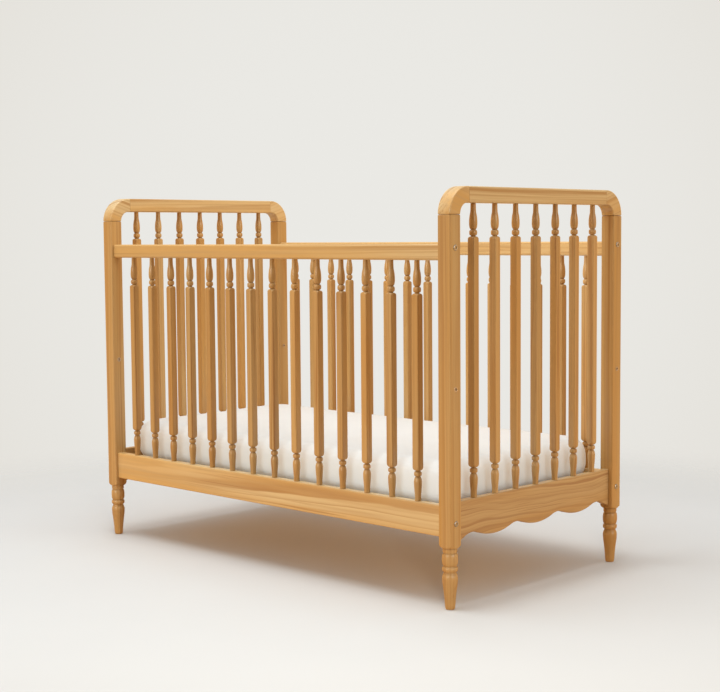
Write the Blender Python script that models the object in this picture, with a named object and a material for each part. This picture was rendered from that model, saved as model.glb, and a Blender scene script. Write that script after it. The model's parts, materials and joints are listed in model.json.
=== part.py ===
"""Baby crib with turned spindles: a cot frame in honey pine, a slatted base and a mattress.

Units are metres and +Z is up. X runs along the long sides and Y across the ends.
The origin is on the floor, under the middle of the crib.
"""
import math

import bmesh
import bpy
from mathutils import Vector

# Driving sizes of the frame
INNER_LENGTH = 1.200            # clear space between the two end panels
INNER_WIDTH = 0.600             # clear space between the two pairs of posts
POST = 0.037                    # side of the square posts, arches and end rails
TOTAL_HEIGHT = 0.952
GAP = 0.0003                    # clearance between pieces that touch

# Side panels
RAIL_THICKNESS = 0.022
TOP_RAIL_BOTTOM = 0.787
TOP_RAIL_HEIGHT = 0.0365
LOW_RAIL_BOTTOM = 0.1637
LOW_RAIL_HEIGHT = 0.072
SIDE_ROWS = {"front": (14, 0.0805), "back": (15, 0.0775)}       # spindles on each side and their pitch

# End panels
ARCH_RADIUS = 0.0635            # outer radius of the quarter-round corner blocks
APRON_THICKNESS = 0.018
APRON_SETBACK = 0.011           # from the posts' outer face to the apron's outer face
APRON_TOP = 0.2435
APRON_CREST = 0.166             # height of the hollows between the scallops
SCALLOP_DEPTH = 0.0145
SCALLOP_PITCH = 0.165
CREST_RADIUS = 0.060
APRON_END_ANGLE = math.radians(23.5)
END_SPINDLES = 7
END_PITCH = 0.078

# Eased edges
POST_EASE = 0.003
RAIL_EASE = 0.005
BATTEN_EASE = 0.002
JOINT_CHAMFER = 0.0016          # the two halves of the V groove over each post

# Turned work: distance from the rail or the floor, and diameter
SPINDLE = 0.019
SPINDLE_EASE = 0.0025
SPINDLE_TOP_TURNING = (
    (0.0, 0.0120),
    (0.0450, 0.0190),
    (0.0595, 0.0115),
    (0.0665, 0.0182),
    (0.0735, 0.0112),
)
SPINDLE_TOP_SHOULDER = 0.080
SPINDLE_LOW_TURNING = (
    (0.0, 0.0142),
    (0.0430, 0.0190),
    (0.0560, 0.0120),
    (0.0625, 0.0182),
    (0.0690, 0.0108),
)
SPINDLE_LOW_SHOULDER = 0.077
FOOT_TURNING = (
    (0.0, 0.0205),
    (0.0600, 0.0345),
    (0.0710, 0.0360),
    (0.0835, 0.0290),
    (0.0925, 0.0360),
    (0.0985, 0.0300),
    (0.1145, 0.0366),
    (0.1290, 0.0300),
    (0.1350, 0.0334),
    (0.1405, 0.0334),
)
FOOT_SHOULDER = 0.150

# Slatted base, the battens that carry it, and the mattress
BATTEN_WIDTH = 0.020
BATTEN_BOTTOM = 0.165
BATTEN_HEIGHT = 0.020
BASE_LENGTH = 1.190
BASE_WIDTH = 0.593
BEARER_WIDTH = 0.030
BEARER_HEIGHT = 0.020
SLAT_WIDTH = 0.055
SLAT_HEIGHT = 0.010
SLAT_HOUSING = 0.001            # how deep each slat is let into the bearers
SLATS = 13
MATTRESS_LENGTH = 1.190
MATTRESS_WIDTH = 0.590
MATTRESS_TOP = 0.318
MATTRESS_CORNER = 0.040
MATTRESS_EDGE = 0.022

# Bolt hole through each post for the upper position of the base
HOLE_HEIGHT = 0.500
HOLE_RADIUS = 0.0045

# How finely round work is divided
POST_FACET_ANGLES = (0, 20, 70)
HOLE_SIDES = 12
ARCH_STEPS = 9
SCALLOP_STEPS = 4
CORNER_STEPS = 5

# Worked out from the sizes above
POST_X = (INNER_LENGTH + POST) / 2
POST_Y = (INNER_WIDTH + POST) / 2
POST_TOP = TOTAL_HEIGHT - ARCH_RADIUS
END_RAIL_BOTTOM = TOTAL_HEIGHT - POST
LOW_RAIL_TOP = LOW_RAIL_BOTTOM + LOW_RAIL_HEIGHT
BASE_BOTTOM = BATTEN_BOTTOM + BATTEN_HEIGHT + GAP
BASE_TOP = BASE_BOTTOM + BEARER_HEIGHT + SLAT_HEIGHT - SLAT_HOUSING
MATTRESS_BOTTOM = BASE_TOP + GAP

CORNERS = {
    "front_left": (-1, -1),
    "front_right": (1, -1),
    "back_left": (-1, 1),
    "back_right": (1, 1),
}
SIDES = {"front": -1, "back": 1}
ENDS = {"left": -1, "right": 1}


def clear_scene():
    for item in list(bpy.data.objects):
        bpy.data.objects.remove(item, do_unlink=True)


def make_material(name, colour, roughness, metallic=0.0):
    material = bpy.data.materials.new(name)
    material.use_nodes = True
    shader = material.node_tree.nodes["Principled BSDF"]
    shader.inputs["Base Color"].default_value = (*colour, 1.0)
    shader.inputs["Roughness"].default_value = roughness
    shader.inputs["Metallic"].default_value = metallic
    return material


def add_object(name, mesh, material, location=(0, 0, 0), rotation=(0, 0, 0)):
    item = bpy.data.objects.new(name, mesh)
    item.location = location
    item.rotation_euler = rotation
    if not mesh.materials:
        mesh.materials.append(material)
    bpy.context.scene.collection.objects.link(item)
    return item


def finish_mesh(shape, name, smooth_angle=None):
    bmesh.ops.recalc_face_normals(shape, faces=shape.faces)
    mesh = bpy.data.meshes.new(name)
    shape.to_mesh(mesh)
    shape.free()
    if smooth_angle is not None:
        mesh.shade_smooth()
        mesh.set_sharp_from_angle(angle=math.radians(smooth_angle))
    return mesh


def loft(rings, name, smooth_angle=None):
    """A closed body through rings of equal point counts, capped at both ends."""
    shape = bmesh.new()
    loops = [[shape.verts.new(point) for point in ring] for ring in rings]
    count = len(loops[0])
    for lower, upper in zip(loops, loops[1:]):
        for i in range(count):
            j = (i + 1) % count
            shape.faces.new((lower[i], lower[j], upper[j], upper[i]))
    shape.faces.new(list(reversed(loops[0])))
    shape.faces.new(loops[-1])
    return finish_mesh(shape, name, smooth_angle)


def box_mesh(name, low, high):
    shape = bmesh.new()
    bmesh.ops.create_cube(shape, size=1.0)
    low, high = Vector(low), Vector(high)
    size = high - low
    for vertex in shape.verts:
        vertex.co = low + Vector((vertex.co[i] + 0.5) * size[i] for i in range(3))
    return finish_mesh(shape, name)


def extrude_outline(name, outline, thickness):
    """An outline of (y, z) points, extruded along X about X = 0."""
    shape = bmesh.new()
    face = shape.faces.new([shape.verts.new((-thickness / 2, y, z)) for y, z in outline])
    moved = bmesh.ops.extrude_face_region(shape, geom=[face])["geom"]
    verts = [item for item in moved if isinstance(item, bmesh.types.BMVert)]
    bmesh.ops.translate(shape, verts=verts, vec=(thickness, 0, 0))
    return finish_mesh(shape, name)


def arc(centre, radius, start, end, steps):
    """Points on an arc in the YZ plane, from the start angle to the end angle in degrees."""
    points = []
    for i in range(steps + 1):
        angle = math.radians(start + (end - start) * i / steps)
        points.append((centre[0] + radius * math.cos(angle), centre[1] + radius * math.sin(angle)))
    return points


def boolean(item, other, operation):
    modifier = item.modifiers.new(operation.lower(), "BOOLEAN")
    modifier.operation = operation
    modifier.solver = "EXACT"
    modifier.object = other
    other.hide_render = True
    other.display_type = "WIRE"


def square_ring(side, ease, between):
    """Directions and reach of a square with eased corners.

    The ring has two points at each corner, and points between them at the given angles.
    """
    half = side / 2
    corner = math.degrees(math.atan2(half - ease, half))
    ring = []
    for quarter in range(4):
        for angle in sorted([*between, corner, 90 - corner]):
            folded = math.radians(min(angle, 90 - angle))
            ring.append((math.radians(90 * quarter + angle), half / math.cos(folded)))
    return ring


def turned_bar(name, side, ease, between, low_turning, low_shoulder, top_turning, top_shoulder, height):
    """A square bar with a turned stretch at its foot, and at its head either another or a chamfer.

    A turning is a list of (distance from the end, diameter), and the square starts at the shoulder.
    """
    ring = square_ring(side, ease, between)
    chamfered = 1 - 2 * JOINT_CHAMFER / side

    def section(z, diameter=None):
        points = []
        for angle, reach in ring:
            radius = reach if diameter is None else min(reach, diameter / 2)
            points.append((radius * math.cos(angle), radius * math.sin(angle), z))
        return points

    rings = [section(z, diameter) for z, diameter in low_turning]
    rings.append(section(low_shoulder))
    if top_turning:
        rings.append(section(height - top_shoulder))
        rings.extend(section(height - z, diameter) for z, diameter in reversed(top_turning))
    else:
        rings.append(section(height - JOINT_CHAMFER))
        rings.append([(x * chamfered, y * chamfered, z) for x, y, z in section(height)])
    return loft(rings, name, smooth_angle=35)


def make_posts(material):
    height = POST_TOP - GAP / 2
    mesh = turned_bar("post", POST, POST_EASE, POST_FACET_ANGLES, FOOT_TURNING, FOOT_SHOULDER,
                      None, None, height)
    for corner, (end, side) in CORNERS.items():
        post = add_object(f"{corner}_post", mesh, material, (end * POST_X, side * POST_Y, 0))
        cutter = bolt_hole_cutter(f"{corner}_hole", end, side)
        boolean(post, cutter, "DIFFERENCE")


def bolt_hole_cutter(name, end, side):
    shape = bmesh.new()
    bmesh.ops.create_cone(shape, cap_ends=True, segments=HOLE_SIDES, radius1=HOLE_RADIUS,
                          radius2=HOLE_RADIUS, depth=2 * POST)
    mesh = finish_mesh(shape, name)
    location = (end * POST_X, side * POST_Y, HOLE_HEIGHT)
    return add_object(name, mesh, bpy.data.materials["steel"], location, (0, math.radians(90), 0))


def make_spindles(material):
    side_height = TOP_RAIL_BOTTOM - LOW_RAIL_TOP - 2 * GAP
    end_height = END_RAIL_BOTTOM - APRON_TOP - 2 * GAP
    kinds = {}
    for kind, height in (("side", side_height), ("end", end_height)):
        kinds[kind] = turned_bar(f"{kind}_spindle", SPINDLE, SPINDLE_EASE, (), SPINDLE_LOW_TURNING,
                                 SPINDLE_LOW_SHOULDER, SPINDLE_TOP_TURNING, SPINDLE_TOP_SHOULDER, height)
    for name, (count, pitch) in SIDE_ROWS.items():
        for i in range(count):
            x = (i - (count - 1) / 2) * pitch
            location = (x, SIDES[name] * POST_Y, LOW_RAIL_TOP + GAP)
            add_object(f"{name}_spindle_{i + 1:02d}", kinds["side"], material, location)
    for name, sign in ENDS.items():
        for i in range(END_SPINDLES):
            y = (i - (END_SPINDLES - 1) / 2) * END_PITCH
            location = (sign * POST_X, y, APRON_TOP + GAP)
            add_object(f"{name}_spindle_{i + 1:02d}", kinds["end"], material, location)


def make_side_rails(material):
    half = INNER_LENGTH / 2 - GAP
    for name, sign in SIDES.items():
        for level, bottom, height in (("top", TOP_RAIL_BOTTOM, TOP_RAIL_HEIGHT),
                                      ("bottom", LOW_RAIL_BOTTOM, LOW_RAIL_HEIGHT)):
            middle = sign * POST_Y
            low = (-half, middle - RAIL_THICKNESS / 2, bottom)
            high = (half, middle + RAIL_THICKNESS / 2, bottom + height)
            rail = add_object(f"{name}_{level}_rail", box_mesh(f"{name}_{level}_rail", low, high), material)
            ease_long_edges(rail, 0, RAIL_EASE, 3)


def make_battens(material):
    """A strip along the inner face of each bottom rail, which carries the base."""
    half = INNER_LENGTH / 2 - GAP
    outer = POST_Y - RAIL_THICKNESS / 2 - GAP
    for name, sign in SIDES.items():
        near, far = sorted((sign * outer, sign * (outer - BATTEN_WIDTH)))
        low = (-half, near, BATTEN_BOTTOM)
        high = (half, far, BATTEN_BOTTOM + BATTEN_HEIGHT)
        batten = add_object(f"{name}_batten", box_mesh(f"{name}_batten", low, high), material)
        ease_long_edges(batten, 0, BATTEN_EASE, 1)


def ease_long_edges(rail, axis, width, segments):
    """Rounds only the edges that run along one axis."""
    mesh = rail.data
    weights = mesh.attributes.new("bevel_weight_edge", "FLOAT", "EDGE")
    for edge in mesh.edges:
        start, end = (mesh.vertices[i].co for i in edge.vertices)
        along = abs(end[axis] - start[axis]) > (end - start).length * 0.999
        weights.data[edge.index].value = 1.0 if along else 0.0
    bevel = rail.modifiers.new("eased edges", "BEVEL")
    bevel.width = width
    bevel.segments = segments
    bevel.limit_method = "WEIGHT"


def arch_outline():
    """The arch over one end, as (y, z): an end rail glued between two quarter-round corner blocks."""
    centre = (POST_Y + POST / 2 - ARCH_RADIUS, POST_TOP)
    inner_radius = ARCH_RADIUS - POST
    foot = POST_TOP + GAP / 2
    chamfer_turn = math.degrees(JOINT_CHAMFER / ARCH_RADIUS)
    inner_turn = math.degrees(JOINT_CHAMFER / inner_radius)
    half = arc(centre, inner_radius, 90, inner_turn, ARCH_STEPS)
    half.append((centre[0] + inner_radius + JOINT_CHAMFER, foot))
    half.append((centre[0] + ARCH_RADIUS - JOINT_CHAMFER, foot))
    half.extend(arc(centre, ARCH_RADIUS, chamfer_turn, 90, ARCH_STEPS))
    return half + [(-y, z) for y, z in reversed(half)]


def make_arches(material):
    outline = arch_outline()
    for name, sign in ENDS.items():
        mesh = extrude_outline(f"{name}_arch", outline, POST)
        add_object(f"{name}_arch", mesh, material, (sign * POST_X, 0, 0))


def scallop_edge():
    """The apron's lower edge from its middle to its +Y end: arcs that meet at one slope."""
    half_pitch = SCALLOP_PITCH / 2
    turn = 2 * math.atan2(SCALLOP_DEPTH, half_pitch)
    lobe_radius = half_pitch / math.sin(turn) - CREST_RADIUS
    degrees = math.degrees(turn)
    lobe_height = APRON_CREST - SCALLOP_DEPTH + lobe_radius
    crest_height = APRON_CREST - CREST_RADIUS
    last = 90 - math.degrees(APRON_END_ANGLE)
    points = [
        *arc((0, lobe_height), lobe_radius, 270, 270 + degrees, SCALLOP_STEPS),
        *arc((half_pitch, crest_height), CREST_RADIUS, 90 + degrees, 90 - degrees, SCALLOP_STEPS)[1:-1],
        *arc((SCALLOP_PITCH, lobe_height), lobe_radius, 270 - degrees, 270 + degrees, 2 * SCALLOP_STEPS),
        *arc((3 * half_pitch, crest_height), CREST_RADIUS, 90 + degrees, last, SCALLOP_STEPS)[1:],
    ]
    end = INNER_WIDTH / 2 - GAP
    y, z = points[-1]
    points.append((end, z - (end - y) * math.tan(APRON_END_ANGLE)))
    return points


def make_aprons(material):
    right_half = scallop_edge()
    left_half = [(-y, z) for y, z in reversed(right_half[1:])]
    end = INNER_WIDTH / 2 - GAP
    outline = [*left_half, *right_half, (end, APRON_TOP), (-end, APRON_TOP)]
    for name, sign in ENDS.items():
        centre = sign * (POST_X + POST / 2 - APRON_SETBACK - APRON_THICKNESS / 2)
        mesh = extrude_outline(f"{name}_apron", outline, APRON_THICKNESS)
        add_object(f"{name}_apron", mesh, material, (centre, 0, 0))


def join_boxes(name, boxes):
    """One mesh that holds several boxes, each given by its lowest and highest corner."""
    shape = bmesh.new()
    for low, high in boxes:
        mesh = box_mesh("part", low, high)
        shape.from_mesh(mesh)
        bpy.data.meshes.remove(mesh)
    return finish_mesh(shape, name)


def make_base(material):
    """Four members glued into a frame, with the slats let into the two long bearers."""
    half_x = BASE_LENGTH / 2
    half_y = BASE_WIDTH / 2
    top = BASE_BOTTOM + BEARER_HEIGHT
    outline = [(-half_x, -half_y), (half_x, -half_y), (half_x, half_y), (-half_x, half_y)]
    inset = [(x - math.copysign(BEARER_WIDTH, x), y - math.copysign(BEARER_WIDTH, y)) for x, y in outline]
    shape = bmesh.new()
    loops = [[shape.verts.new((x, y, z)) for x, y in ring]
             for ring, z in ((outline, BASE_BOTTOM), (outline, top), (inset, top), (inset, BASE_BOTTOM))]
    for first, second in zip(loops, loops[1:] + loops[:1]):
        for i in range(4):
            j = (i + 1) % 4
            shape.faces.new((first[i], first[j], second[j], second[i]))
    base = add_object("mattress_base", finish_mesh(shape, "mattress_base"), material)

    pitch = (BASE_LENGTH - SLAT_WIDTH) / (SLATS - 1)
    slat_low = top - SLAT_HOUSING
    boxes = []
    for i in range(SLATS):
        x = -half_x + i * pitch
        boxes.append(((x, -half_y, slat_low), (x + SLAT_WIDTH, half_y, slat_low + SLAT_HEIGHT)))
    slats = add_object("slats_to_join", join_boxes("slats_to_join", boxes), material)
    boolean(base, slats, "UNION")


def rounded_rectangle(length, width, radius, z):
    points = []
    for quarter, (sx, sy) in enumerate(((1, 1), (-1, 1), (-1, -1), (1, -1))):
        centre = (sx * (length / 2 - radius), sy * (width / 2 - radius))
        for x, y in arc(centre, radius, 90 * quarter, 90 * quarter + 90, CORNER_STEPS):
            points.append((x, y, z))
    return points


def make_mattress(material):
    height = MATTRESS_TOP - MATTRESS_BOTTOM
    rings = []
    for degrees in (0, 45, 90):
        angle = math.radians(degrees)
        rings.append((MATTRESS_EDGE * (1 - math.sin(angle)), MATTRESS_EDGE * (1 - math.cos(angle))))
    levels = rings + [(inset, height - z) for inset, z in reversed(rings)]
    sections = [rounded_rectangle(MATTRESS_LENGTH - 2 * inset, MATTRESS_WIDTH - 2 * inset,
                                  MATTRESS_CORNER - inset, MATTRESS_BOTTOM + z)
                for inset, z in levels]
    add_object("mattress", loft(sections, "mattress", smooth_angle=50), material)


def main():
    clear_scene()
    make_material("steel", (0.62, 0.61, 0.58), 0.35, 1.0)
    post_pine = make_material("honey_pine_post", (0.56, 0.31, 0.12), 0.38)
    rail_pine = make_material("honey_pine_rail", (0.58, 0.33, 0.13), 0.38)
    spindle_pine = make_material("honey_pine_spindle", (0.55, 0.29, 0.10), 0.36)
    bare_pine = make_material("bare_pine", (0.66, 0.47, 0.28), 0.62)
    cotton = make_material("white_cotton", (0.84, 0.83, 0.81), 0.85)
    make_posts(post_pine)
    make_side_rails(rail_pine)
    make_battens(bare_pine)
    make_arches(rail_pine)
    make_aprons(rail_pine)
    make_spindles(spindle_pine)
    make_base(bare_pine)
    make_mattress(cotton)


main()
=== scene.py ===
import json
import math

import bmesh
import bpy
import numpy as np
from mathutils import Matrix, Vector, noise

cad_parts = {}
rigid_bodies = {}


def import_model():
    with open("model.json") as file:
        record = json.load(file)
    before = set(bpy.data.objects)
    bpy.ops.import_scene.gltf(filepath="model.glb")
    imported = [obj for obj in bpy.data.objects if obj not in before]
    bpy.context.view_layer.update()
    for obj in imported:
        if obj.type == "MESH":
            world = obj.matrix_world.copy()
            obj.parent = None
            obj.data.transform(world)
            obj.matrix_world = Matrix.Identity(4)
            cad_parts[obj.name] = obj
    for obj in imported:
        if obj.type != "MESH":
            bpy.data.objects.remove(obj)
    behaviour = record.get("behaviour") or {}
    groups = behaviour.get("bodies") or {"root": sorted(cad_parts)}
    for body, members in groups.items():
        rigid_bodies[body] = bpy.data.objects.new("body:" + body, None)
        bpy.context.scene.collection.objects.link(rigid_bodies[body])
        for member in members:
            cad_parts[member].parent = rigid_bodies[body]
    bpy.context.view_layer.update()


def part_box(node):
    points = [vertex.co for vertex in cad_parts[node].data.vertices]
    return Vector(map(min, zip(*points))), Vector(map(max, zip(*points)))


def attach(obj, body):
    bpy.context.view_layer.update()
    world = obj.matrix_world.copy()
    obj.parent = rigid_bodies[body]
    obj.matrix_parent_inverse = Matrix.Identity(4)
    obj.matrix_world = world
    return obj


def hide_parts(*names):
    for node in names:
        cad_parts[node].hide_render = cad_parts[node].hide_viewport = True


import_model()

# Camera
CAMERA_PLACE = Vector((2.675, -2.750, 0.845))
CAMERA_AZIMUTH = math.radians(43.81)
CAMERA_PITCH = math.radians(4.44)
CAMERA_ROLL = math.radians(-0.46)
CAMERA_LENS = 71.5
CAMERA_SENSOR = 36.0

# Studio light: what the camera sees behind the crib, and the light from low, high and behind it
BACKDROP = (0.825, 0.815, 0.778)
BACKDROP_EDGE = (0.775, 0.752, 0.702)
LOW_LIGHT = (1.36, 0.75, 0.28)
HIGH_LIGHT = (0.50, 0.505, 0.51)
DIM_LIGHT = (0.15, 0.09, 0.05)
FLOOR_BOUNCE = (0.68, 0.48, 0.30)   # the floor's colour as it lights the crib
SOFTBOX_ANGLE = math.radians(24)    # how wide each side softbox looks from the crib

# Studio floor: its two shades, and the distances between which it melts into the backdrop
FLOOR_SHADES = ((0.762, 0.822, 0.856), (0.791, 0.852, 0.886))
FLOOR_RADIUS = 3.0
FLOOR_FADE = (0.95, 2.25)
FLOOR_DROP = 0.0005

# Rounded edges of the wooden parts
POST_EDGE = 0.0032
SPINDLE_EDGE = 0.0026
RAIL_EDGE = 0.0050
LOW_RAIL_EDGE = 0.0035
APRON_EDGE = 0.0022
BASE_EDGE = 0.0015
JOINT_CHAMFER = 0.0016          # each half of the V groove between post and corner block
CRISP = 0.0004                  # rounding of an edge that looks sharp

# Corner blocks
ARCH_STRAIGHT = 0.005           # straight stretch from the arc to the joint with the end rail
BLOCK_GRAIN_TURN = 0.30         # radians that a block's grain tips from level
JOINT_GAP = 0.0003

# Scalloped lower edge of the aprons
SCALLOP_DEPTH = 0.0145
SCALLOP_PITCH = 0.165
CREST_RADIUS = 0.060
CREST_HEIGHT = 0.166
APRON_END_ANGLE = math.radians(23.5)

# Fittings on the outer face of each post
BOLT_HEIGHTS = (0.197, 0.8155)
BOLT_RADIUS = 0.0067
BOLT_RISE = 0.0018
BOLT_GAP = 0.0001
BOLT_CROWN = 0.0049             # radius at which the head's rounding ends
SOCKET_MOUTH = 0.0042           # radius at which the socket's chamfer starts
HEX_RADIUS = 0.0034             # from the middle of the socket to a corner of the hexagon
HEX_DEPTH = 0.0034
SLEEVE_HEIGHT = 0.500
SLEEVE_RADIUS = 0.0045
SLEEVE_RIM = 0.0061
SLEEVE_BORE = 0.0032

# Slatted base
BEARER_WIDTH = 0.030
SLAT_WIDTH = 0.055
SLAT_HEIGHT = 0.010
SLATS = 13
SCREW_RADIUS = 0.0036

# Mattress and its fitted sheet
SHEET_THICKNESS = 0.0010
CORE_INSET = 0.0045
CORE_CORNER = 0.040
CORE_EDGE = 0.024               # how far in from its sides the rounding of its edges starts
CORE_DROP = 0.038               # and how far down the sides it reaches
CORE_CROWN = 0.004              # how far the core's top is built above its CAD box
VOXEL = 0.0115
SWELL = 0.0075                  # the furthest that a point of the core may move as it swells
SWELL_FRAMES = 20
HEM_REACH = 0.080               # how far the sheet runs in under the mattress
SLACK = 0.0006                  # how far the sheet's slow waves stand up, and its drag lines
DRAG = 0.0007
DRAG_REACH = 0.08               # how soon the drag lines fade from a corner

SPINDLES = (("front", 14), ("back", 15), ("left", 7), ("right", 7))
LACQUER = 0.25                  # weight of the clear coat on the frame

EDGE_STEPS = 4                  # faces round each edge of a bar
END_STEPS = 3                   # rings that round off each end of a bar
RANDOM = np.random.default_rng(11)


# ---------------------------------------------------------------- nodes

class Nodes:
    """Builds a node tree a node at a time. An input is a number, a colour or another node's output."""

    def __init__(self, tree):
        self.nodes = tree.nodes
        self.links = tree.links

    def set(self, node, inputs):
        for name, value in inputs.items():
            socket = node.inputs[name]
            if isinstance(value, bpy.types.NodeSocket):
                self.links.new(value, socket)
            elif isinstance(value, tuple) and len(value) == 3 and socket.type == "RGBA":
                socket.default_value = (*value, 1)
            else:
                socket.default_value = value

    def add(self, kind, inputs=None, **settings):
        node = self.nodes.new(kind)
        for name, value in settings.items():
            setattr(node, name, value)
        self.set(node, inputs or {})
        return node

    def math(self, operation, first, second=0.0):
        return self.add("ShaderNodeMath", {0: first, 1: second}, operation=operation).outputs[0]

    def vector(self, operation, first, second=(0, 0, 0)):
        node = self.add("ShaderNodeVectorMath", {0: first, 1: second}, operation=operation)
        return node.outputs["Value" if operation in ("LENGTH", "DOT_PRODUCT") else "Vector"]

    def noise(self, place, stretch, detail=2.0, rough=0.5):
        place = self.vector("MULTIPLY", place, stretch)
        return self.add("ShaderNodeTexNoise", {"Vector": place, "Scale": 1.0, "Detail": detail,
                                               "Roughness": rough})

    def ramp(self, value, stops):
        node = self.add("ShaderNodeValToRGB", {"Fac": value})
        points = node.color_ramp.elements
        while len(points) < len(stops):
            points.new(0.5)
        for point, (position, level) in zip(points, stops):
            point.position = position
            point.color = (level, level, level, 1)
        return node.outputs["Color"]

    def span(self, value, low, high, to_low=0.0, to_high=1.0, ease="LINEAR"):
        limits = {"From Min": low, "From Max": high, "To Min": to_low, "To Max": to_high}
        return self.add("ShaderNodeMapRange", {"Value": value, **limits},
                        interpolation_type=ease).outputs["Result"]

    def mix(self, factor, first, second, blend="MIX"):
        return self.add("ShaderNodeMix", {0: factor, 6: first, 7: second}, data_type="RGBA",
                        blend_type=blend).outputs[2]

    def bump(self, height, distance, strength):
        return self.add("ShaderNodeBump", {"Height": height, "Distance": distance,
                                           "Strength": strength}).outputs["Normal"]

    def attribute(self, name, output):
        return self.add("ShaderNodeAttribute", attribute_name=name).outputs[output]

    def camera_ray(self):
        return self.add("ShaderNodeLightPath").outputs["Is Camera Ray"]


class Shader(Nodes):
    """A material on a Principled shader."""

    def __init__(self, name):
        self.material = bpy.data.materials.new(name)
        self.material.use_nodes = True
        super().__init__(self.material.node_tree)
        self.surface = self.nodes["Principled BSDF"]


# ---------------------------------------------------------------- camera and light

def make_camera():
    yaw, pitch, roll = CAMERA_AZIMUTH, CAMERA_PITCH, CAMERA_ROLL
    ahead = Vector((-math.sin(yaw) * math.cos(pitch), math.cos(yaw) * math.cos(pitch),
                    -math.sin(pitch)))
    level = Vector((math.cos(yaw), math.sin(yaw), 0))
    upright = level.cross(ahead)
    right = level * math.cos(roll) + upright * math.sin(roll)
    up = upright * math.cos(roll) - level * math.sin(roll)
    camera = bpy.data.objects.new("camera", bpy.data.cameras.new("camera"))
    camera.data.lens = CAMERA_LENS
    camera.data.sensor_width = CAMERA_SENSOR
    turned = Matrix((right, up, -ahead)).transposed().to_4x4()
    camera.matrix_world = Matrix.Translation(CAMERA_PLACE) @ turned
    bpy.context.scene.collection.objects.link(camera)
    bpy.context.scene.camera = camera


def area_light(name, place, target, size, power, colour):
    light = bpy.data.objects.new(name, bpy.data.lights.new(name, "AREA"))
    light.data.shape = "DISK"
    light.data.size = size
    light.data.energy = power
    light.data.color = colour
    light.location = place
    light.rotation_euler = (Vector(target) - Vector(place)).to_track_quat("-Z", "Y").to_euler()
    bpy.context.scene.collection.objects.link(light)


def far_light(name, direction, power, colour):
    """A softbox far off to one side, so that each row of spindles shades its own gaps."""
    light = bpy.data.objects.new(name, bpy.data.lights.new(name, "SUN"))
    light.data.angle = SOFTBOX_ANGLE
    light.data.energy = power
    light.data.color = colour
    light.rotation_euler = Vector(direction).to_track_quat("Z", "Y").to_euler()
    bpy.context.scene.collection.objects.link(light)


def make_light():
    """Softboxes overhead and at the sides, with fills, in a room that is darker behind the camera."""
    bpy.context.scene.view_settings.view_transform = "Standard"
    world = bpy.data.worlds.new("studio")
    world.use_nodes = True
    studio = Nodes(world.node_tree)
    place = studio.add("ShaderNodeTexCoord").outputs["Generated"]
    apart = studio.add("ShaderNodeSeparateXYZ", {"Vector": place})
    height = studio.math("ABSOLUTE", apart.outputs["Z"])
    facing = studio.vector("DOT_PRODUCT", place,
                           (math.sin(CAMERA_AZIMUTH), -math.cos(CAMERA_AZIMUTH), 0))
    around = studio.mix(studio.span(height, 0.05, 0.58, ease="SMOOTHSTEP"), LOW_LIGHT, HIGH_LIGHT)
    around = studio.mix(studio.span(facing, 0.35, 0.95, ease="SMOOTHSTEP"), around, DIM_LIGHT)
    aside = studio.span(facing, -1.0, -0.94, ease="SMOOTHSTEP")
    seen = studio.mix(studio.camera_ray(), around, studio.mix(aside, BACKDROP, BACKDROP_EDGE))
    studio.set(studio.nodes["Background"], {"Color": seen})
    bpy.context.scene.world = world
    area_light("overhead", (-0.05, -0.60, 3.4), (0, 0, 0.3), 2.3, 66, (1.0, 0.99, 0.97))
    far_light("left", (-0.06, -1, 0.27), 0.93, (1.0, 0.95, 0.88))
    far_light("right", (1, 0.03, 0.27), 0.78, (1.0, 0.94, 0.86))
    area_light("bedding front", (1.7, -3.4, 0.8), (0, 0, 0.25), 3.0, 74, (0.86, 0.95, 1.0))
    area_light("bedding right", (3.6, -1.8, 0.8), (0, 0, 0.25), 3.0, 56, (0.86, 0.95, 1.0))
    area_light("floor fill", (2.8, -2.5, 0.48), (0, 0, 0), 0.92, 96, (1.0, 0.80, 0.60))


def link_light(names, items, state):
    """Lets the named lights reach only the items (INCLUDE), or everything but them (EXCLUDE)."""
    group = bpy.data.collections.new(f"{state.lower()} {names[0]}")
    for item in items:
        group.objects.link(item)
    for entry in group.collection_objects:
        entry.light_linking.link_state = state
    for name in names:
        bpy.data.objects[name].light_linking.receiver_collection = group


# ---------------------------------------------------------------- materials

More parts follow.
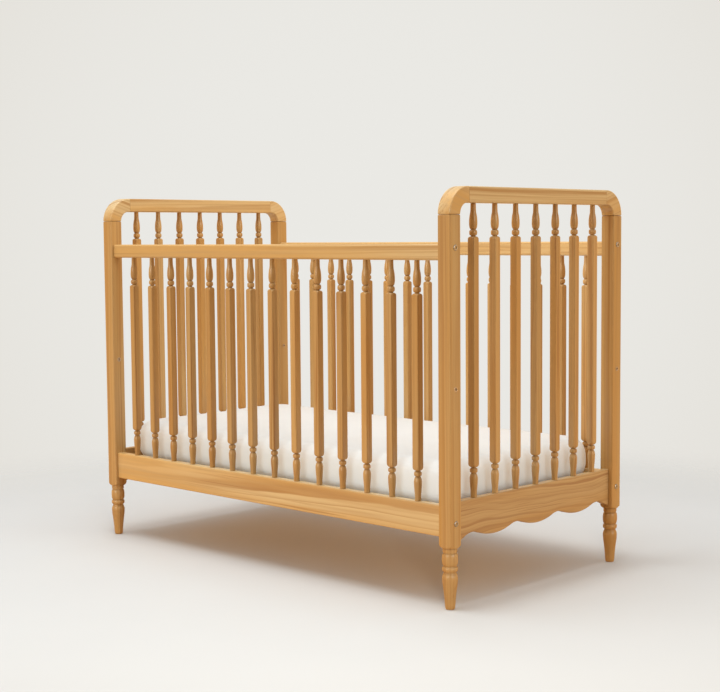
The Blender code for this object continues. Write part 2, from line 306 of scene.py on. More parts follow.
def pine(name, light, dark, ring=0.0085, contrast=0.75, wander=0.010, bends=1.4, gloss=0.36):
    """Pine with growth rings round a pith beside the board, read from each piece's own grain.

    ring is the rings' spacing, wander is how far the grain strays, bends is how often per metre, and
    gloss is the roughness: lacquered below 0.5 and bare above.
    """
    shader = Shader(name)
    grain = shader.attribute("grain", "Vector")
    tone = shader.attribute("tone", "Fac")
    wear_and_shading = shader.attribute("wear_and_shading", "Fac")

    broad = shader.noise(grain, (bends, 7, 7), detail=1.5)
    strayed = shader.vector("SUBTRACT", broad.outputs["Color"], (0.5, 0.5, 0.5))
    strayed = shader.vector("MULTIPLY", strayed, (0, 2 * wander, 2 * wander))
    ripple = shader.noise(grain, (7, 40, 40), detail=2)
    rippled = shader.vector("SUBTRACT", ripple.outputs["Color"], (0.5, 0.5, 0.5))
    rippled = shader.vector("MULTIPLY", rippled, (0, 0.0026, 0.0026))
    place = shader.vector("ADD", shader.vector("ADD", grain, strayed), rippled)
    reach = shader.vector("LENGTH", shader.vector("MULTIPLY", place, (0, 1, 1)))
    count = shader.math("DIVIDE", reach, ring)
    uneven = shader.add("ShaderNodeTexNoise", {"W": count, "Scale": 0.55, "Detail": 1.0},
                        noise_dimensions="1D")
    count = shader.math("ADD", count, shader.math("MULTIPLY", uneven.outputs["Fac"], 2.4))
    late = shader.ramp(shader.math("FRACT", count),
                       ((0.0, 0.0), (0.35, 0.07), (0.70, 0.38), (0.90, 1.0), (0.95, 0.85), (1.0, 0.0)))
    chance = shader.add("ShaderNodeTexWhiteNoise", {"W": shader.math("FLOOR", count)},
                        noise_dimensions="1D").outputs["Value"]
    patches = shader.noise(grain, (1.8, 12, 12), detail=2).outputs["Fac"]
    strength = shader.math("MULTIPLY", shader.span(chance, 0.25, 1.0, 0.30, 1.15),
                           shader.span(patches, 0.30, 0.70, 0.5 * contrast, contrast))
    colour = shader.mix(shader.math("MULTIPLY", late, strength), light, dark)

    amber = (0.94 * light[0], 0.77 * light[1], 0.53 * light[2])
    drift = shader.noise(grain, (0.9, 16, 16), detail=2.5).outputs["Fac"]
    colour = shader.mix(shader.span(drift, 0.40, 0.62, 0.0, 1.0), colour, amber)
    middling = tuple(0.5 * c + 0.5 * d for c, d in zip(light, dark))
    streak = shader.noise(grain, (1.7, 85, 85), detail=2.5, rough=0.55).outputs["Fac"]
    colour = shader.mix(shader.span(streak, 0.47, 0.70, 0.0, 0.70), colour, middling)
    vein = shader.noise(grain, (1.1, 210, 210), detail=1).outputs["Fac"]
    colour = shader.mix(shader.span(vein, 0.64, 0.74, 0.0, 0.60), colour, dark)

    fibre = shader.noise(grain, (12, 900, 900), detail=3, rough=0.6).outputs["Fac"]
    shade = shader.math("MULTIPLY", shader.span(fibre, 0.35, 0.70, 0.965, 1.02),
                        shader.math("ADD", 1.0, tone))
    # Each ring's level darkens the wood with painted shade in grooves, joints and at ends, partly
    # lacquer pooled there, and lightens the proudest turns with a painted highlight, partly rubbed
    # wear
    shade = shader.math("MULTIPLY", shade, shader.span(wear_and_shading, -1.0, 1.0, 0.88, 1.14))
    level = shader.add("ShaderNodeCombineColor", {"Red": shade, "Green": shade, "Blue": shade})
    colour = shader.mix(1.0, colour, level.outputs["Color"], "MULTIPLY")

    smear = shader.noise(grain, (5, 30, 30), detail=3).outputs["Fac"]
    rough = shader.math("ADD", shader.span(smear, 0.3, 0.7, gloss - 0.04, gloss + 0.06),
                        shader.math("MULTIPLY", fibre, 0.05))
    height = shader.math("ADD", shader.math("MULTIPLY", fibre, 0.35),
                         shader.math("MULTIPLY", late, 0.5))
    shader.set(shader.surface, {"Base Color": colour, "Roughness": rough,
                                "Normal": shader.bump(height, 0.0003, 0.12),
                                "Specular IOR Level": 0.35,
                                "Coat Weight": LACQUER if gloss < 0.5 else 0.0,
                                "Coat Roughness": 0.15})
    return shader.material


def cotton(name, light, dark):
    """Plain-woven cotton with faint slubs."""
    shader = Shader(name)
    place = shader.add("ShaderNodeTexCoord").outputs["Object"]
    threads = {"Vector": place, "Scale": 480.0, "Distortion": 0.8, "Detail": 1.0}
    warp, weft = (shader.add("ShaderNodeTexWave", threads, bands_direction=way).outputs["Fac"]
                  for way in ("X", "Y"))
    weave = shader.math("MULTIPLY", warp, weft)
    slub = shader.noise(place, (60, 900, 900), detail=2).outputs["Fac"]
    cloud = shader.noise(place, (9, 9, 9), detail=3).outputs["Fac"]
    shade = shader.math("ADD", shader.span(cloud, 0.3, 0.7, 0.0, 0.55),
                        shader.math("MULTIPLY", slub, 0.25))
    colour = shader.mix(shade, light, dark)
    height = shader.math("ADD", shader.math("MULTIPLY", weave, 0.4),
                         shader.math("MULTIPLY", slub, 0.4))
    shader.set(shader.surface, {"Base Color": colour,
                                "Roughness": shader.span(slub, 0.3, 0.7, 0.82, 0.92),
                                "Normal": shader.bump(height, 0.0003, 0.25),
                                "Sheen Weight": 0.25, "Sheen Roughness": 0.4})
    return shader.material


def steel(name, colour, rough):
    """Brushed steel with a faint haze."""
    shader = Shader(name)
    place = shader.add("ShaderNodeTexCoord").outputs["Object"]
    grit = shader.noise(place, (700, 700, 700), detail=3).outputs["Fac"]
    haze = shader.noise(place, (120, 120, 120), detail=2).outputs["Fac"]
    dull = tuple(0.72 * c for c in colour)
    tint = shader.mix(shader.span(haze, 0.3, 0.7, 0.0, 0.5), colour, dull)
    shader.set(shader.surface, {"Base Color": tint, "Metallic": 1.0,
                                "Roughness": shader.span(grit, 0.3, 0.7, rough - 0.06, rough + 0.10),
                                "Normal": shader.bump(grit, 0.0001, 0.15)})
    return shader.material


def floor_material():
    """A pale matte floor that melts into the backdrop with distance from the crib."""
    shader = Shader("studio_floor")
    place = shader.add("ShaderNodeTexCoord").outputs["Object"]
    mottle = shader.noise(place, (3, 3, 3), detail=4).outputs["Fac"]
    colour = shader.mix(mottle, *FLOOR_SHADES)
    colour = shader.mix(shader.camera_ray(), FLOOR_BOUNCE, colour)
    shader.set(shader.surface, {"Base Color": colour, "Roughness": 0.75, "Specular IOR Level": 0.2})
    fade = shader.span(shader.vector("LENGTH", place), *FLOOR_FADE, ease="SMOOTHERSTEP")
    clear = shader.add("ShaderNodeBsdfTransparent").outputs["BSDF"]
    mixed = shader.add("ShaderNodeMixShader", {0: fade, 1: shader.surface.outputs["BSDF"], 2: clear})
    shader.set(shader.nodes["Material Output"], {"Surface": mixed.outputs["Shader"]})
    return shader.material


# ---------------------------------------------------------------- shapes

def slopes(xs, ys):
    """Slopes of a smooth curve that never overshoots its points."""
    rates = np.diff(ys) / np.diff(xs)
    found = np.zeros(len(xs))
    found[0], found[-1] = rates[0], rates[-1]
    for i in range(1, len(xs) - 1):
        if rates[i - 1] * rates[i] > 0:
            found[i] = 2 * rates[i - 1] * rates[i] / (rates[i - 1] + rates[i])
    return found


def curve(*points, step=0.0025):
    """(distance, radius) along a smooth curve through the given ones."""
    xs, ys = np.array(points, float).T
    rates = slopes(xs, ys)
    found = []
    for i in range(len(xs) - 1):
        width = xs[i + 1] - xs[i]
        count = max(1, math.ceil(width / step))
        for k in range(count):
            t = k / count
            a, b = (1 + 2 * t) * (1 - t) ** 2, t * (1 - t) ** 2
            c, d = t * t * (3 - 2 * t), t * t * (t - 1)
            found.append((xs[i] + t * width, a * ys[i] + b * width * rates[i] + c * ys[i + 1]
                          + d * width * rates[i + 1]))
    found.append((xs[-1], ys[-1]))
    return found


def bead(start, end, edge, middle, fullness=2.3, steps=9):
    """A turned bead from start to end, with its radius at the edges and in the middle."""
    found = []
    for i in range(steps + 1):
        across = -math.cos(math.pi * i / steps)
        swell = (1 - abs(across) ** fullness) ** (1 / fullness)
        found.append((start + (end - start) * (across + 1) / 2, edge + (middle - edge) * swell))
    return found


def shoulder(start, end, neck, full, steps=8):
    """The rounded step from a turned neck to the square, whose corners it cuts."""
    found = []
    for i in range(steps + 1):
        t = 1 - math.cos(math.pi / 2 * i / steps)
        found.append((start + (end - start) * t, neck + (full - neck) * math.sqrt(1 - (1 - t) ** 2)))
    return found


def square_reach(angle, half, edge):
    """How far a square with rounded corners reaches at an angle from its middle."""
    folded = angle % (math.pi / 2)
    folded = min(folded, math.pi / 2 - folded)
    inner = half - edge
    if math.tan(folded) * half <= inner:
        return half / math.cos(folded)
    along = inner * (math.cos(folded) + math.sin(folded))
    return along + math.sqrt(along * along - 2 * inner * inner + edge * edge)


def square_angles(half, edge, flats=4, corners=6):
    """Angles round a rounded square: a few on each flat and more on each corner."""
    first = math.atan2(half - edge, half)
    quarter = [-first + 2 * first * i / flats for i in range(flats)]
    quarter += [first + (math.pi / 2 - 2 * first) * i / corners for i in range(corners)]
    return [turn * math.pi / 2 + angle for turn in range(4) for angle in quarter]


def loft(name, rings, wear_and_shading=None):
    """A closed mesh through rings of equal counts, with an optional level from -1 to 1 for each ring:
    painted shade below 0 and a painted highlight above, partly real wear.
    """
    shape = bmesh.new()
    layer = shape.verts.layers.float.new("wear_and_shading")
    loops = []
    for k, ring in enumerate(rings):
        loop = [shape.verts.new(point) for point in ring]
        for vertex in loop:
            vertex[layer] = wear_and_shading[k] if wear_and_shading is not None else 0.0
        loops.append(loop)
    count = len(loops[0])
    for lower, upper in zip(loops, loops[1:]):
        for i in range(count):
            j = (i + 1) % count
            shape.faces.new((lower[i], lower[j], upper[j], upper[i]))
    shape.faces.new(list(reversed(loops[0])))
    shape.faces.new(loops[-1])
    return finish_shape(name, shape)


def finish_shape(name, shape, smooth=40):
    bmesh.ops.recalc_face_normals(shape, faces=shape.faces)
    mesh = bpy.data.meshes.new(name)
    shape.to_mesh(mesh)
    shape.free()
    mesh.shade_smooth()
    mesh.set_sharp_from_angle(angle=math.radians(smooth))
    item = bpy.data.objects.new(name, mesh)
    bpy.context.scene.collection.objects.link(item)
    return item


def even_normals(item):
    """Keeps flat faces looking flat between their rounded edges."""
    modifier = item.modifiers.new("even normals", "WEIGHTED_NORMAL")
    modifier.keep_sharp = True
    modifier.weight = 60


def rounded_section(half_a, half_b, edge, inset=0.0):
    """Points round a rectangle with rounded corners, drawn in by inset."""
    radius = max(edge - inset, CRISP / 2)
    reach_a, reach_b = half_a - inset - radius, half_b - inset - radius
    points = []
    for quarter, (sa, sb) in enumerate(((1, 1), (-1, 1), (-1, -1), (1, -1))):
        for i in range(EDGE_STEPS + 1):
            angle = math.pi / 2 * (quarter + i / EDGE_STEPS)
            points.append((sa * reach_a + radius * math.cos(angle),
                           sb * reach_b + radius * math.sin(angle)))
    return points


def end_steps(edge):
    """(distance from the end, inset) of the rings that round off a bar's end."""
    turns = [math.pi / 2 * i / END_STEPS for i in range(END_STEPS + 1)]
    return [(edge * (1 - math.sin(a)), edge * (1 - math.cos(a))) for a in turns]


def bar(name, low, high, axis, edge):
    """A straight bar between two corners, with rounded edges along one axis and eased ends."""
    low, high = Vector(low), Vector(high)
    middle, half = (low + high) / 2, (high - low) / 2
    a, b = [i for i in range(3) if i != axis]
    stations = [(low[axis] + distance, inset) for distance, inset in reversed(end_steps(CRISP))]
    stations += [(high[axis] - (z - low[axis]), inset) for z, inset in reversed(stations)]
    rings = []
    for z, inset in stations:
        ring = []
        for pa, pb in rounded_section(half[a], half[b], edge, inset):
            point = [0.0, 0.0, 0.0]
            point[axis] = z
            point[a] = middle[a] + pa
            point[b] = middle[b] + pb
            ring.append(point)
        rings.append(ring)
    item = loft(name, rings)
    even_normals(item)
    return item


def settle(item):
    """Replaces an item's mesh by its evaluated one, and clears its modifiers."""
    graph = bpy.context.evaluated_depsgraph_get()
    mesh = bpy.data.meshes.new_from_object(item.evaluated_get(graph), depsgraph=graph)
    item.modifiers.clear()
    item.data = mesh


def cut_board(item, axis, material, tone=0.05, lean=0.012, turn=0.0, pith=None):
    """Gives a piece its own board: grain along one axis, and a pith at its own place.

    turn tips the grain in the YZ plane.
    """
    mesh = item.data
    places = np.array([item.matrix_world @ v.co for v in mesh.vertices], float)
    places -= (places.min(0) + places.max(0)) / 2
    others = [i for i in range(3) if i != axis]
    board = places[:, [axis, *others]]
    if turn:
        c, s = math.cos(turn), math.sin(turn)
        board[:, [0, 2]] = board[:, [0, 2]] @ np.array([[c, -s], [s, c]])
    across = RANDOM.uniform(-lean, lean, 2)
    board[:, 1:] += board[:, :1] * across
    if pith is None:
        angle, reach = RANDOM.uniform(0, 2 * math.pi), RANDOM.uniform(0.028, 0.075)
        pith = (reach * math.cos(angle), reach * math.sin(angle))
    board += np.array([RANDOM.uniform(-40, 40), *pith])
    grain = mesh.attributes.new("grain", "FLOAT_VECTOR", "POINT")
    grain.data.foreach_set("vector", board.astype(np.float32).ravel())
    shade = mesh.attributes.new("tone", "FLOAT", "POINT")
    level = float(RANDOM.uniform(-tone, tone))
    shade.data.foreach_set("value", np.full(len(mesh.vertices), level, np.float32))
    mesh.materials.clear()
    mesh.materials.append(material)
    return item


def ride(item, body, slot, *nodes):
    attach(item, body)
    if nodes:
        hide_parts(*nodes)


# ---------------------------------------------------------------- turned posts and spindles

SPINDLE_LOW = [
    *curve((0, 0.0071), (0.010, 0.0073), (0.025, 0.0084), (0.037, 0.0093), (0.0445, 0.0095)),
    *curve((0.0450, 0.0095), (0.0500, 0.0086), (0.0545, 0.0069), (0.0560, 0.0057), step=0.0016),
    (0.0568, 0.0055),
    *bead(0.0573, 0.0677, 0.0064, 0.0091),
    (0.0682, 0.0055),
    (0.0698, 0.0055),
    *shoulder(0.0702, 0.0795, 0.0062, 0.0126),
]
SPINDLE_TOP = [
    *curve((0, 0.0060), (0.018, 0.0065), (0.029, 0.0084), (0.040, 0.0094), (0.0462, 0.0095)),
    *curve((0.0470, 0.0095), (0.0536, 0.0087), (0.0575, 0.0072), (0.0592, 0.0058), step=0.0016),
    (0.0600, 0.0055),
    *bead(0.0605, 0.0726, 0.0064, 0.0091),
    (0.0731, 0.0055),
    (0.0746, 0.0055),
    *shoulder(0.0750, 0.0820, 0.0062, 0.0126),
]
FOOT = [
    (0.0, 0.0088),
    *curve((0.0006, 0.0102), (0.0030, 0.0111), (0.026, 0.01315), (0.0485, 0.01575), (0.060, 0.01725),
           (0.071, 0.0180)),
    *curve((0.0715, 0.0180), (0.0765, 0.0173), (0.0805, 0.0158), (0.0832, 0.0146), step=0.0016),
    (0.0842, 0.0144),
    (0.0866, 0.0146),
    *bead(0.0870, 0.0980, 0.0152, 0.0180),
    (0.0986, 0.0150),
    (0.0998, 0.0150),
    *bead(0.1003, 0.1285, 0.0152, 0.0183, fullness=2.1, steps=12),
    (0.1290, 0.0150),
    (0.1302, 0.0150),
    *curve((0.1306, 0.0163), (0.1314, 0.0167), (0.1388, 0.0167), (0.1396, 0.0164)),
    (0.1400, 0.0158),
    *shoulder(0.1405, 0.1500, 0.0162, 0.0250),
]


def profile_wear_and_shading(profile, top):
    """Grooves hold dark lacquer and painted shade, and the proudest turns are rubbed lighter and given
    a painted highlight.
    """
    radii = np.array([radius for _, radius in profile])
    levels = []
    for i in range(len(radii)):
        around = radii[max(0, i - 6):i + 7]
        levels.append(float(np.clip((radii[i] - around.mean()) / (0.12 * top), -1, 0.35)))
    # The end ring, where the piece stands on the floor or meets a rail, is darkened with painted
    # contact shade
    levels[0] = min(levels[0], -0.4)
    return levels


def turned_bar(name, side, edge, foot, head, height, chamfer=0.0):
    """A square bar with a turned foot, and at its head either a turning or a chamfer."""
    half = side / 2
    angles = square_angles(half, edge)
    reaches = [square_reach(angle, half, edge) for angle in angles]
    rings, wear_and_shading = [], []

    def add(z, radius, level):
        rings.append([(min(reach, radius) * math.cos(angle), min(reach, radius) * math.sin(angle), z)
                      for angle, reach in zip(angles, reaches)])
        wear_and_shading.append(level)

    for (z, radius), level in zip(foot, profile_wear_and_shading(foot, half)):
        add(z, radius, level)
    if head:
        levels = profile_wear_and_shading(head, half)
        for (z, radius), level in reversed(list(zip(head, levels))):
            add(height - z, radius, level)
    else:
        add(height - chamfer, side, 0.0)
        shrink = 1 - chamfer / half
        rings.append([(x * shrink, y * shrink, height) for x, y, _ in rings[-1]])
        # The chamfer's top ring, in the V groove under the corner block, is darkened with painted
        # shade
        wear_and_shading.append(-0.7)
    item = loft(name, rings, wear_and_shading)
    even_normals(item)
    return item


def each_post():
    """Each post's name and box."""
    for end in ("left", "right"):
        for side in ("front", "back"):
            yield f"{side}_{end}", *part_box(f"{side}_{end}_post")


def midway(low, high, height):
    return (low.x + high.x) / 2, (low.y + high.y) / 2, height


def make_posts(material):
    for name, low, high in each_post():
        post = turned_bar(f"post_{name}", high.x - low.x, POST_EDGE, FOOT, None, high.z - low.z,
                          JOINT_CHAMFER)
        post.location = midway(low, high, low.z)
        drill(post, SLEEVE_HEIGHT, SLEEVE_RADIUS)
        cut_board(post, 2, material, tone=0.03)
        ride(post, "frame", "pine_posts", f"{name}_post")


def drill(post, height, radius):
    """Bores the bolt hole of the base's upper position through a post, along X."""
    bpy.context.view_layer.update()
    turns = [2 * math.pi * i / 40 for i in range(40)]
    cutter = loft("cutter", [[(x, radius * math.cos(a), height + radius * math.sin(a)) for a in turns]
                             for x in (-0.05, 0.05)])
    cutter.location = (post.location.x, post.location.y, 0)
    cut = post.modifiers.new("hole", "BOOLEAN")
    cut.operation = "DIFFERENCE"
    cut.object = cutter
    post.modifiers.move(len(post.modifiers) - 1, 0)
    bpy.context.view_layer.update()
    settle(post)
    bpy.data.objects.remove(cutter)


def make_spindles(material):
    for name, count in SPINDLES:
        for i in range(count):
            node = f"{name}_spindle_{i + 1:02d}"
            low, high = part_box(node)
            spindle = turned_bar(f"spindle_{name}_{i + 1:02d}", high.x - low.x, SPINDLE_EDGE,
                                 SPINDLE_LOW, SPINDLE_TOP, high.z - low.z)
            spindle.location = midway(low, high, low.z)
            bpy.context.view_layer.update()
            cut_board(spindle, 2, material, tone=0.09)
            ride(spindle, "frame", "pine_spindles", node)


# ---------------------------------------------------------------- rails, corner blocks and aprons

def make_rails(material, plain):
    for side in ("front", "back"):
        for level, edge in (("top", RAIL_EDGE), ("bottom", LOW_RAIL_EDGE)):
            node = f"{side}_{level}_rail"
            rail = bar(f"rail_{side}_{level}", *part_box(node), 0, edge)
            ride(cut_board(rail, 0, material), "frame", "pine_rails", node)
        batten = bar(f"batten_{side}", *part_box(f"{side}_batten"), 0, BASE_EDGE)
        ride(cut_board(batten, 0, plain), "frame", "bare_pine", f"{side}_batten")


def make_ends(rails, blocks):
    """Each end's arch: an end rail between two corner blocks."""
    for end in ("left", "right"):
        node = f"{end}_arch"
        low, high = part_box(node)
        thick = high.x - low.x
        reach = high.y - (high.z - low.z) - ARCH_STRAIGHT
        rail = bar(f"rail_{end}_end", (low.x, -reach, high.z - thick), (high.x, reach, high.z), 1,
                   POST_EDGE)
        ride(cut_board(rail, 1, rails, tone=0.03), "frame", "pine_rails", node)
        for side, sign in (("front", -1), ("back", 1)):
            block = corner_block(f"corner_{side}_{end}", low, high, sign)
            cut_board(block, 1, blocks, tone=0.04, turn=sign * BLOCK_GRAIN_TURN)
            ride(block, "frame", "pine_rails")


def corner_block(name, low, high, sign):
    """A quarter-round block, swept from the post's top round to the end rail."""
    thick = high.x - low.x
    radius = high.z - low.z
    middle = radius - thick / 2
    centre_x, centre_y = (low.x + high.x) / 2, high.y - radius
    stations = [(0.0, JOINT_CHAMFER), (JOINT_CHAMFER / middle, 0.0)]
    stations += [(math.pi / 2 * i / 20, 0.0) for i in range(2, 21)]
    # The chamfered ring at the joint with the post is darkened with painted shade in the V groove
    wear_and_shading = [-0.7] + [0.0] * (len(stations) - 1)
    rings = []
    for angle, inset in stations:
        rings.append([(centre_x + a, sign * (centre_y + (middle + b) * math.cos(angle)),
                       low.z + (middle + b) * math.sin(angle))
                      for a, b in rounded_section(thick / 2, thick / 2, POST_EDGE, inset)])
    end = ARCH_STRAIGHT - JOINT_GAP
    for distance, inset in ((end - CRISP, 0.0), (end, CRISP)):
        rings.append([(centre_x + a, sign * (centre_y - distance), low.z + middle + b)
                      for a, b in rounded_section(thick / 2, thick / 2, POST_EDGE, inset)])
        wear_and_shading.append(0.0)
    block = loft(name, rings, wear_and_shading)
    even_normals(block)
    return block


def arc(centre, radius, start, end, steps):
    found = []
    for i in range(steps + 1):
        angle = start + (end - start) * i / steps
        found.append((centre[0] + radius * math.cos(angle), centre[1] + radius * math.sin(angle)))
    return found


def apron_outline(half, top):
    """The scalloped outline: arcs of the lobes and of the hollows between them meet at one slope."""
    half_pitch = SCALLOP_PITCH / 2
    turn = 2 * math.atan2(SCALLOP_DEPTH, half_pitch)
    lobe = half_pitch / math.sin(turn) - CREST_RADIUS
    lobe_height = CREST_HEIGHT - SCALLOP_DEPTH + lobe
    crest_height = CREST_HEIGHT - CREST_RADIUS
    down, up = 1.5 * math.pi, 0.5 * math.pi
    edge = [
        *arc((0, lobe_height), lobe, down, down + turn, 10),
        *arc((half_pitch, crest_height), CREST_RADIUS, up + turn, up - turn, 12)[1:-1],
        *arc((SCALLOP_PITCH, lobe_height), lobe, down - turn, down + turn, 20),
        *arc((3 * half_pitch, crest_height), CREST_RADIUS, up + turn, up - APRON_END_ANGLE, 12)[1:],
    ]
    y, z = edge[-1]
    edge.append((half, z - (half - y) * math.tan(APRON_END_ANGLE)))
    mirrored = [(-y, z) for y, z in reversed(edge[1:])]
    sides = [(half, top), (-half, top)]
    return [*mirrored, *edge, *sides]


def drawn_in(outline, inset):
    """The outline moved inwards by inset. The points run anticlockwise."""
    points = np.array(outline)
    before, after = np.roll(points, 1, 0), np.roll(points, -1, 0)
    first, second = points - before, after - points
    normals = []
    for d in (first, second):
        d = d / np.linalg.norm(d, axis=1)[:, None]
        normals.append(np.stack([-d[:, 1], d[:, 0]], 1))
    total = normals[0] + normals[1]
    total /= (total * normals[0]).sum(1)[:, None]
    return points + inset * total


def make_aprons(material):
    for end in ("left", "right"):
        node = f"{end}_apron"
        low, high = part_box(node)
        outline = apron_outline(high.y, high.z)
        half = (high.x - low.x) / 2
        middle = (high.x + low.x) / 2
        rings = []
        for across in (-1, 1):
            steps = [(half - distance, inset) for distance, inset in end_steps(APRON_EDGE)]
            for x, inset in (sorted(steps, reverse=True) if across < 0 else sorted(steps)):
                rings.append([(middle + across * x, y, z) for y, z in drawn_in(outline, inset)])
        apron = loft(f"apron_{end}", rings)
        even_normals(apron)
        cut_board(apron, 1, material, tone=0.02, lean=0.03, pith=(0.012, -0.085))
        ride(apron, "frame", "pine_aprons", node)


# ---------------------------------------------------------------- fittings

def turned_disc(name, profile, sides=48, hexagon=()):
    """A turned piece about +X from (x, radius) points. Rings listed in hexagon are six-sided."""
    rings = []
    for k, (x, radius) in enumerate(profile):
        ring = []
        for i in range(sides):
            angle = 2 * math.pi * i / sides
            reach = radius
            if k in hexagon:
                folded = (angle + math.pi / 6) % (math.pi / 3) - math.pi / 6
                reach = radius * math.cos(math.pi / 6) / math.cos(folded)
            ring.append((x, reach * math.cos(angle), reach * math.sin(angle)))
        rings.append(ring)
    return loft(name, rings)


def make_bolts(material):
    """Round bolt heads with a hexagonal socket, two on each post's outer face."""
    profile = [(-0.0006, BOLT_RADIUS * 0.98), (0.0, BOLT_RADIUS)]
    for i in range(1, 7):
        angle = math.pi / 2 * i / 6
        profile.append((0.0004 + (BOLT_RISE - 0.0004) * math.sin(angle),
                        BOLT_RADIUS - (BOLT_RADIUS - BOLT_CROWN) * (1 - math.cos(angle))))
    profile += [(BOLT_RISE, SOCKET_MOUTH), (BOLT_RISE - 0.0002, HEX_RADIUS * 1.06),
                (BOLT_RISE - 0.0007, HEX_RADIUS), (BOLT_RISE - HEX_DEPTH, HEX_RADIUS),
                (BOLT_RISE - HEX_DEPTH - 0.0006, HEX_RADIUS * 0.15)]
    count = len(profile)
    for name, low, high in each_post():
        sign = 1 if name.endswith("right") else -1
        face = high.x if sign > 0 else low.x
        for place, height in zip(("lower", "upper"), BOLT_HEIGHTS):
            bolt = turned_disc(f"bolt_{name}_{place}", profile, hexagon=range(count - 4, count))
            bolt.location = (face + sign * BOLT_GAP, (low.y + high.y) / 2, height)
            bolt.rotation_euler = (RANDOM.uniform(0, math.pi / 3), 0, 0 if sign > 0 else math.pi)
            bolt.data.materials.append(material)
            bpy.context.view_layer.update()
            ride(bolt, "frame", "steel")


def make_sleeves(material):
    """A closed steel sleeve with a thin rim at both faces fills each post's middle hole."""
    for name, low, high in each_post():
        half = (high.x - low.x) / 2
        profile = [(half - 0.0024, SLEEVE_BORE * 0.1), (half - 0.0022, SLEEVE_BORE * 0.9),
                   (half + 0.0003, SLEEVE_BORE), (half + 0.0005, SLEEVE_BORE + 0.0004),
                   (half + 0.0005, SLEEVE_RIM - 0.0004), (half + 0.0003, SLEEVE_RIM),
                   (half - 0.0001, SLEEVE_RIM), (half - 0.0001, SLEEVE_RADIUS - 0.0002)]
        profile += [(-x, radius) for x, radius in reversed(profile)]
        sleeve = turned_disc(f"sleeve_{name}", profile)
        sleeve.location = midway(low, high, SLEEVE_HEIGHT)
        sleeve.data.materials.append(material)
        bpy.context.view_layer.update()
        ride(sleeve, "frame", "steel")


# ---------------------------------------------------------------- slatted base

def make_base(material, metal):
    low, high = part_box("mattress_base")
    top = high.z - SLAT_HEIGHT
    made = []
    for name, sign in (("front", -1), ("back", 1)):
        y = sorted((sign * high.y, sign * (high.y - BEARER_WIDTH)))
        made.append((bar(f"bearer_{name}", (low.x, y[0], low.z), (high.x, y[1], top), 0, BASE_EDGE),
                     0))
    for name, sign in (("left", -1), ("right", 1)):
        x = sorted((sign * high.x, sign * (high.x - BEARER_WIDTH)))
        inner = high.y - BEARER_WIDTH
        made.append((bar(f"crossbar_{name}", (x[0], -inner, low.z), (x[1], inner, top), 1, BASE_EDGE),
                     1))
    pitch = (high.x - low.x - SLAT_WIDTH) / (SLATS - 1)
    places = []
    for i in range(SLATS):
        x = low.x + i * pitch
        made.append((bar(f"slat_{i + 1:02d}", (x, low.y, top), (x + SLAT_WIDTH, high.y, high.z), 1,
                         BASE_EDGE),
                     1))
        for across in (0.25, 0.75):
            for sign in (-1, 1):
                places.append((x + across * SLAT_WIDTH, sign * (high.y - BEARER_WIDTH / 2), high.z))
    for k, (piece, axis) in enumerate(made):
        cut_board(piece, axis, material, tone=0.08)
        ride(piece, "base", "bare_pine", *(["mattress_base"] if k == 0 else []))
    make_screws(places, metal)


def make_screws(places, material):
    """Cross-headed screws that hold the slats, as one group."""
    shape = bmesh.new()
    for place in places:
        turn = RANDOM.uniform(0, math.pi / 2)
        loops = []
        for z, radius, cross in ((-0.0006, 1.0, 0), (0.0002, 1.0, 0), (0.0004, 0.9, 0),
                                 (0.0005, 0.62, 1), (-0.0010, 0.50, 1)):
            loop = []
            for i in range(24):
                angle = 2 * math.pi * i / 24
                arm = 1 if not cross or i % 6 in (0, 1, 5) else 0.42
                reach = SCREW_RADIUS * radius * arm
                loop.append(shape.verts.new((place[0] + reach * math.cos(angle + turn),
                                             place[1] + reach * math.sin(angle + turn), place[2] + z)))
            loops.append(loop)
        for lower, upper in zip(loops, loops[1:]):
            for i in range(24):
                j = (i + 1) % 24
                shape.faces.new((lower[i], lower[j], upper[j], upper[i]))
        shape.faces.new(list(reversed(loops[0])))
        shape.faces.new(loops[-1])
    screws = finish_shape("base_screws", shape, smooth=35)
    screws.data.materials.append(material)
    ride(screws, "base", "steel")


# ---------------------------------------------------------------- mattress and fitted sheet

def mattress_block(low, high):
    """The mattress before it swells: a block with rounded corners and edges."""
    half_x, half_y = (high.x - low.x) / 2, (high.y - low.y) / 2
    rings = []
    height = high.z - low.z
    levels = [(CORE_DROP * (1 - math.cos(a)), CORE_EDGE * (1 - math.sin(a)))
              for a in (math.pi / 2 * i / 6 for i in range(7))]
    levels += [(height - z, inset) for z, inset in reversed(levels)]
    for z, inset in levels:
        ring = []
        radius = CORE_CORNER - 0.6 * inset
        for quarter, (sx, sy) in enumerate(((1, 1), (-1, 1), (-1, -1), (1, -1))):
            for i in range(9):
                angle = math.pi / 2 * (quarter + i / 8)
                ring.append((sx * (half_x - inset - radius) + radius * math.cos(angle),
                             sy * (half_y - inset - radius) + radius * math.sin(angle), low.z + z))
        rings.append(ring)
    return loft("mattress_core", rings)


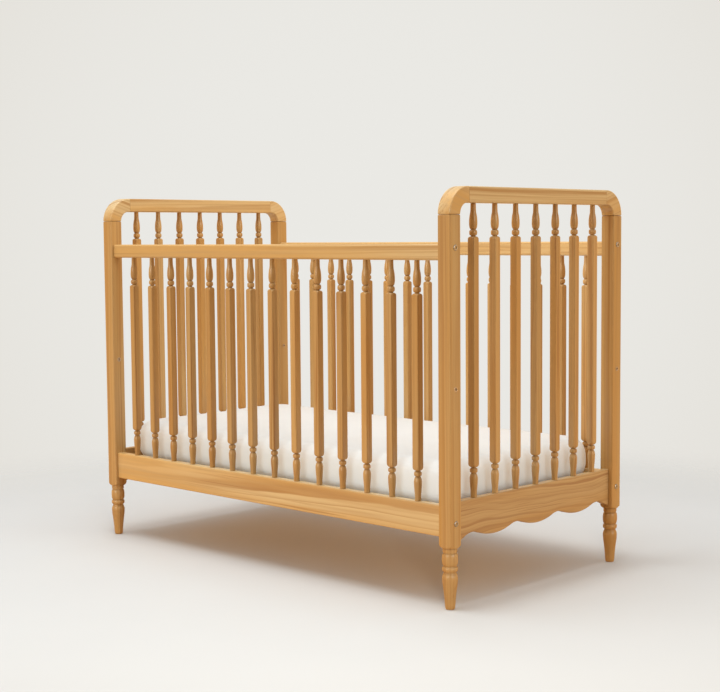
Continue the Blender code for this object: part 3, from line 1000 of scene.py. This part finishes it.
def swell(item, cap, floor):
    """Blows the mattress up as cloth. No point moves further than cap, or sinks below floor."""
    remesh = item.modifiers.new("remesh", "REMESH")
    remesh.mode = "VOXEL"
    remesh.voxel_size = VOXEL
    settle(item)
    start = np.array([v.co for v in item.data.vertices], float)
    cloth = item.modifiers.new("cloth", "CLOTH")
    cloth.settings.quality = 4
    cloth.settings.mass = 0.3
    cloth.settings.tension_stiffness = 12
    cloth.settings.bending_stiffness = 0.8
    cloth.settings.use_pressure = True
    cloth.settings.uniform_pressure_force = 4
    cloth.settings.effector_weights.gravity = 0
    for step in range(SWELL_FRAMES):
        bpy.context.scene.frame_set(step + 1)
    settle(item)
    bpy.context.scene.frame_set(1)
    moved = np.array([v.co for v in item.data.vertices], float) - start
    far = np.linalg.norm(moved, axis=1)
    moved *= np.minimum(1, cap / np.maximum(far, 1e-9))[:, None]
    places = start + moved
    places[:, 2] = np.maximum(places[:, 2], floor)
    item.data.vertices.foreach_set("co", places.astype(np.float32).ravel())
    item.data.update()
    smooth = item.modifiers.new("smooth", "SMOOTH")
    smooth.factor = 0.5
    smooth.iterations = 6
    soft = item.modifiers.new("subdivision", "SUBSURF")
    soft.levels = 1
    soft.render_levels = 1
    settle(item)
    item.data.shade_smooth()


def make_mattress(ticking, sheet_cotton):
    low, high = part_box("mattress")
    clear = SHEET_THICKNESS * 2
    inner_low = low + Vector((CORE_INSET, CORE_INSET, clear))
    inner_high = high - Vector((CORE_INSET, CORE_INSET, -CORE_CROWN))
    core = mattress_block(inner_low, inner_high)
    swell(core, SWELL, inner_low.z)
    core.data.materials.append(ticking)
    sheet = make_sheet(core, low, sheet_cotton)
    ride(core, "mattress", "white_cotton", "mattress")
    ride(sheet, "mattress", "white_cotton")
    return core, sheet


def make_sheet(core, low, material):
    """A fitted sheet over the core: it wraps the edges and ends in an open hem underneath."""
    shape = bmesh.new()
    shape.from_mesh(core.data)
    half_x, half_y = -low.x, -low.y
    under = []
    for face in shape.faces:
        middle = face.calc_center_median()
        inside = min(half_x - abs(middle.x), half_y - abs(middle.y))
        if face.normal.z < -0.8 and inside > HEM_REACH:
            under.append(face)
    bmesh.ops.delete(shape, geom=under, context="FACES")
    shape.normal_update()
    for vertex in shape.verts:
        vertex.co += vertex.normal * SHEET_THICKNESS * 0.6
        vertex.co += vertex.normal * crease(vertex.co, vertex.normal, half_x, half_y)
    sheet = finish_shape("fitted_sheet", shape, smooth=180)
    sheet.data.materials.clear()
    sheet.data.materials.append(material)
    thick = sheet.modifiers.new("thickness", "SOLIDIFY")
    thick.thickness = SHEET_THICKNESS
    thick.offset = 1
    return sheet


def crease(place, normal, half_x, half_y):
    """Slight slack in the cloth, and short drag lines that fan out from the corners."""
    if normal.z < -0.5:
        return 0.0
    slack = SLACK * (noise.noise(place * 4.0) + 0.25 * noise.noise(place * 11.0))
    away = Vector((half_x - abs(place.x), half_y - abs(place.y)))
    reach = away.length
    fan = math.atan2(away.y, away.x)
    drag = DRAG * math.exp(-reach / DRAG_REACH) * math.sin(13 * fan + 9 * reach) * (reach > 1e-6)
    return slack + drag


# ---------------------------------------------------------------- floor

def make_floor(material):
    shape = bmesh.new()
    bmesh.ops.create_circle(shape, cap_ends=True, radius=FLOOR_RADIUS, segments=96)
    floor = finish_shape("floor", shape)
    floor.location.z = -FLOOR_DROP
    floor.data.materials.append(material)
    return floor


# ---------------------------------------------------------------- the crib in its studio

make_camera()
make_light()
floor = make_floor(floor_material())

post_pine = pine("pine_posts", (0.575, 0.397, 0.172), (0.35, 0.155, 0.044), contrast=1.05)
block_pine = pine("pine_corner_blocks", (0.72, 0.560, 0.300), (0.44, 0.245, 0.090), ring=0.0095,
                  contrast=1.0)
rail_pine = pine("pine_rails", (0.725, 0.570, 0.305), (0.41, 0.205, 0.060), ring=0.0105, contrast=0.95)
apron_pine = pine("pine_aprons", (0.585, 0.415, 0.202), (0.32, 0.145, 0.050), contrast=0.85,
                  wander=0.030, bends=3.6)
spindle_pine = pine("pine_spindles", (0.57, 0.385, 0.165), (0.33, 0.148, 0.042), ring=0.0075)
base_pine = pine("bare_pine", (0.70, 0.52, 0.32), (0.50, 0.31, 0.15), gloss=0.62)
sheet_cotton = cotton("fitted_sheet_cotton", (0.83, 0.875, 0.880), (0.79, 0.835, 0.840))
ticking_cotton = cotton("mattress_ticking", (0.80, 0.79, 0.76), (0.74, 0.73, 0.70))
bolt_steel = steel("bolt_steel", (0.50, 0.49, 0.46), 0.30)
sleeve_steel = steel("sleeve_steel", (0.56, 0.48, 0.38), 0.38)

make_posts(post_pine)
make_spindles(spindle_pine)
make_rails(rail_pine, base_pine)
make_ends(rail_pine, block_pine)
make_aprons(apron_pine)
make_bolts(bolt_steel)
make_sleeves(sleeve_steel)
make_base(base_pine, bolt_steel)
soft_pieces = make_mattress(ticking_cotton, sheet_cotton)

# The side softboxes leave out the bedding and the floor, which would show stripes of shadow
side_spindles = [item for item in bpy.data.objects
                 if item.name.startswith(("spindle_front", "spindle_back"))]
link_light(["left"], [floor, *soft_pieces], "EXCLUDE")
link_light(["right"], [floor, *soft_pieces, *side_spindles], "EXCLUDE")
link_light(["bedding front", "bedding right"], soft_pieces, "INCLUDE")
link_light(["floor fill"], [floor], "INCLUDE")
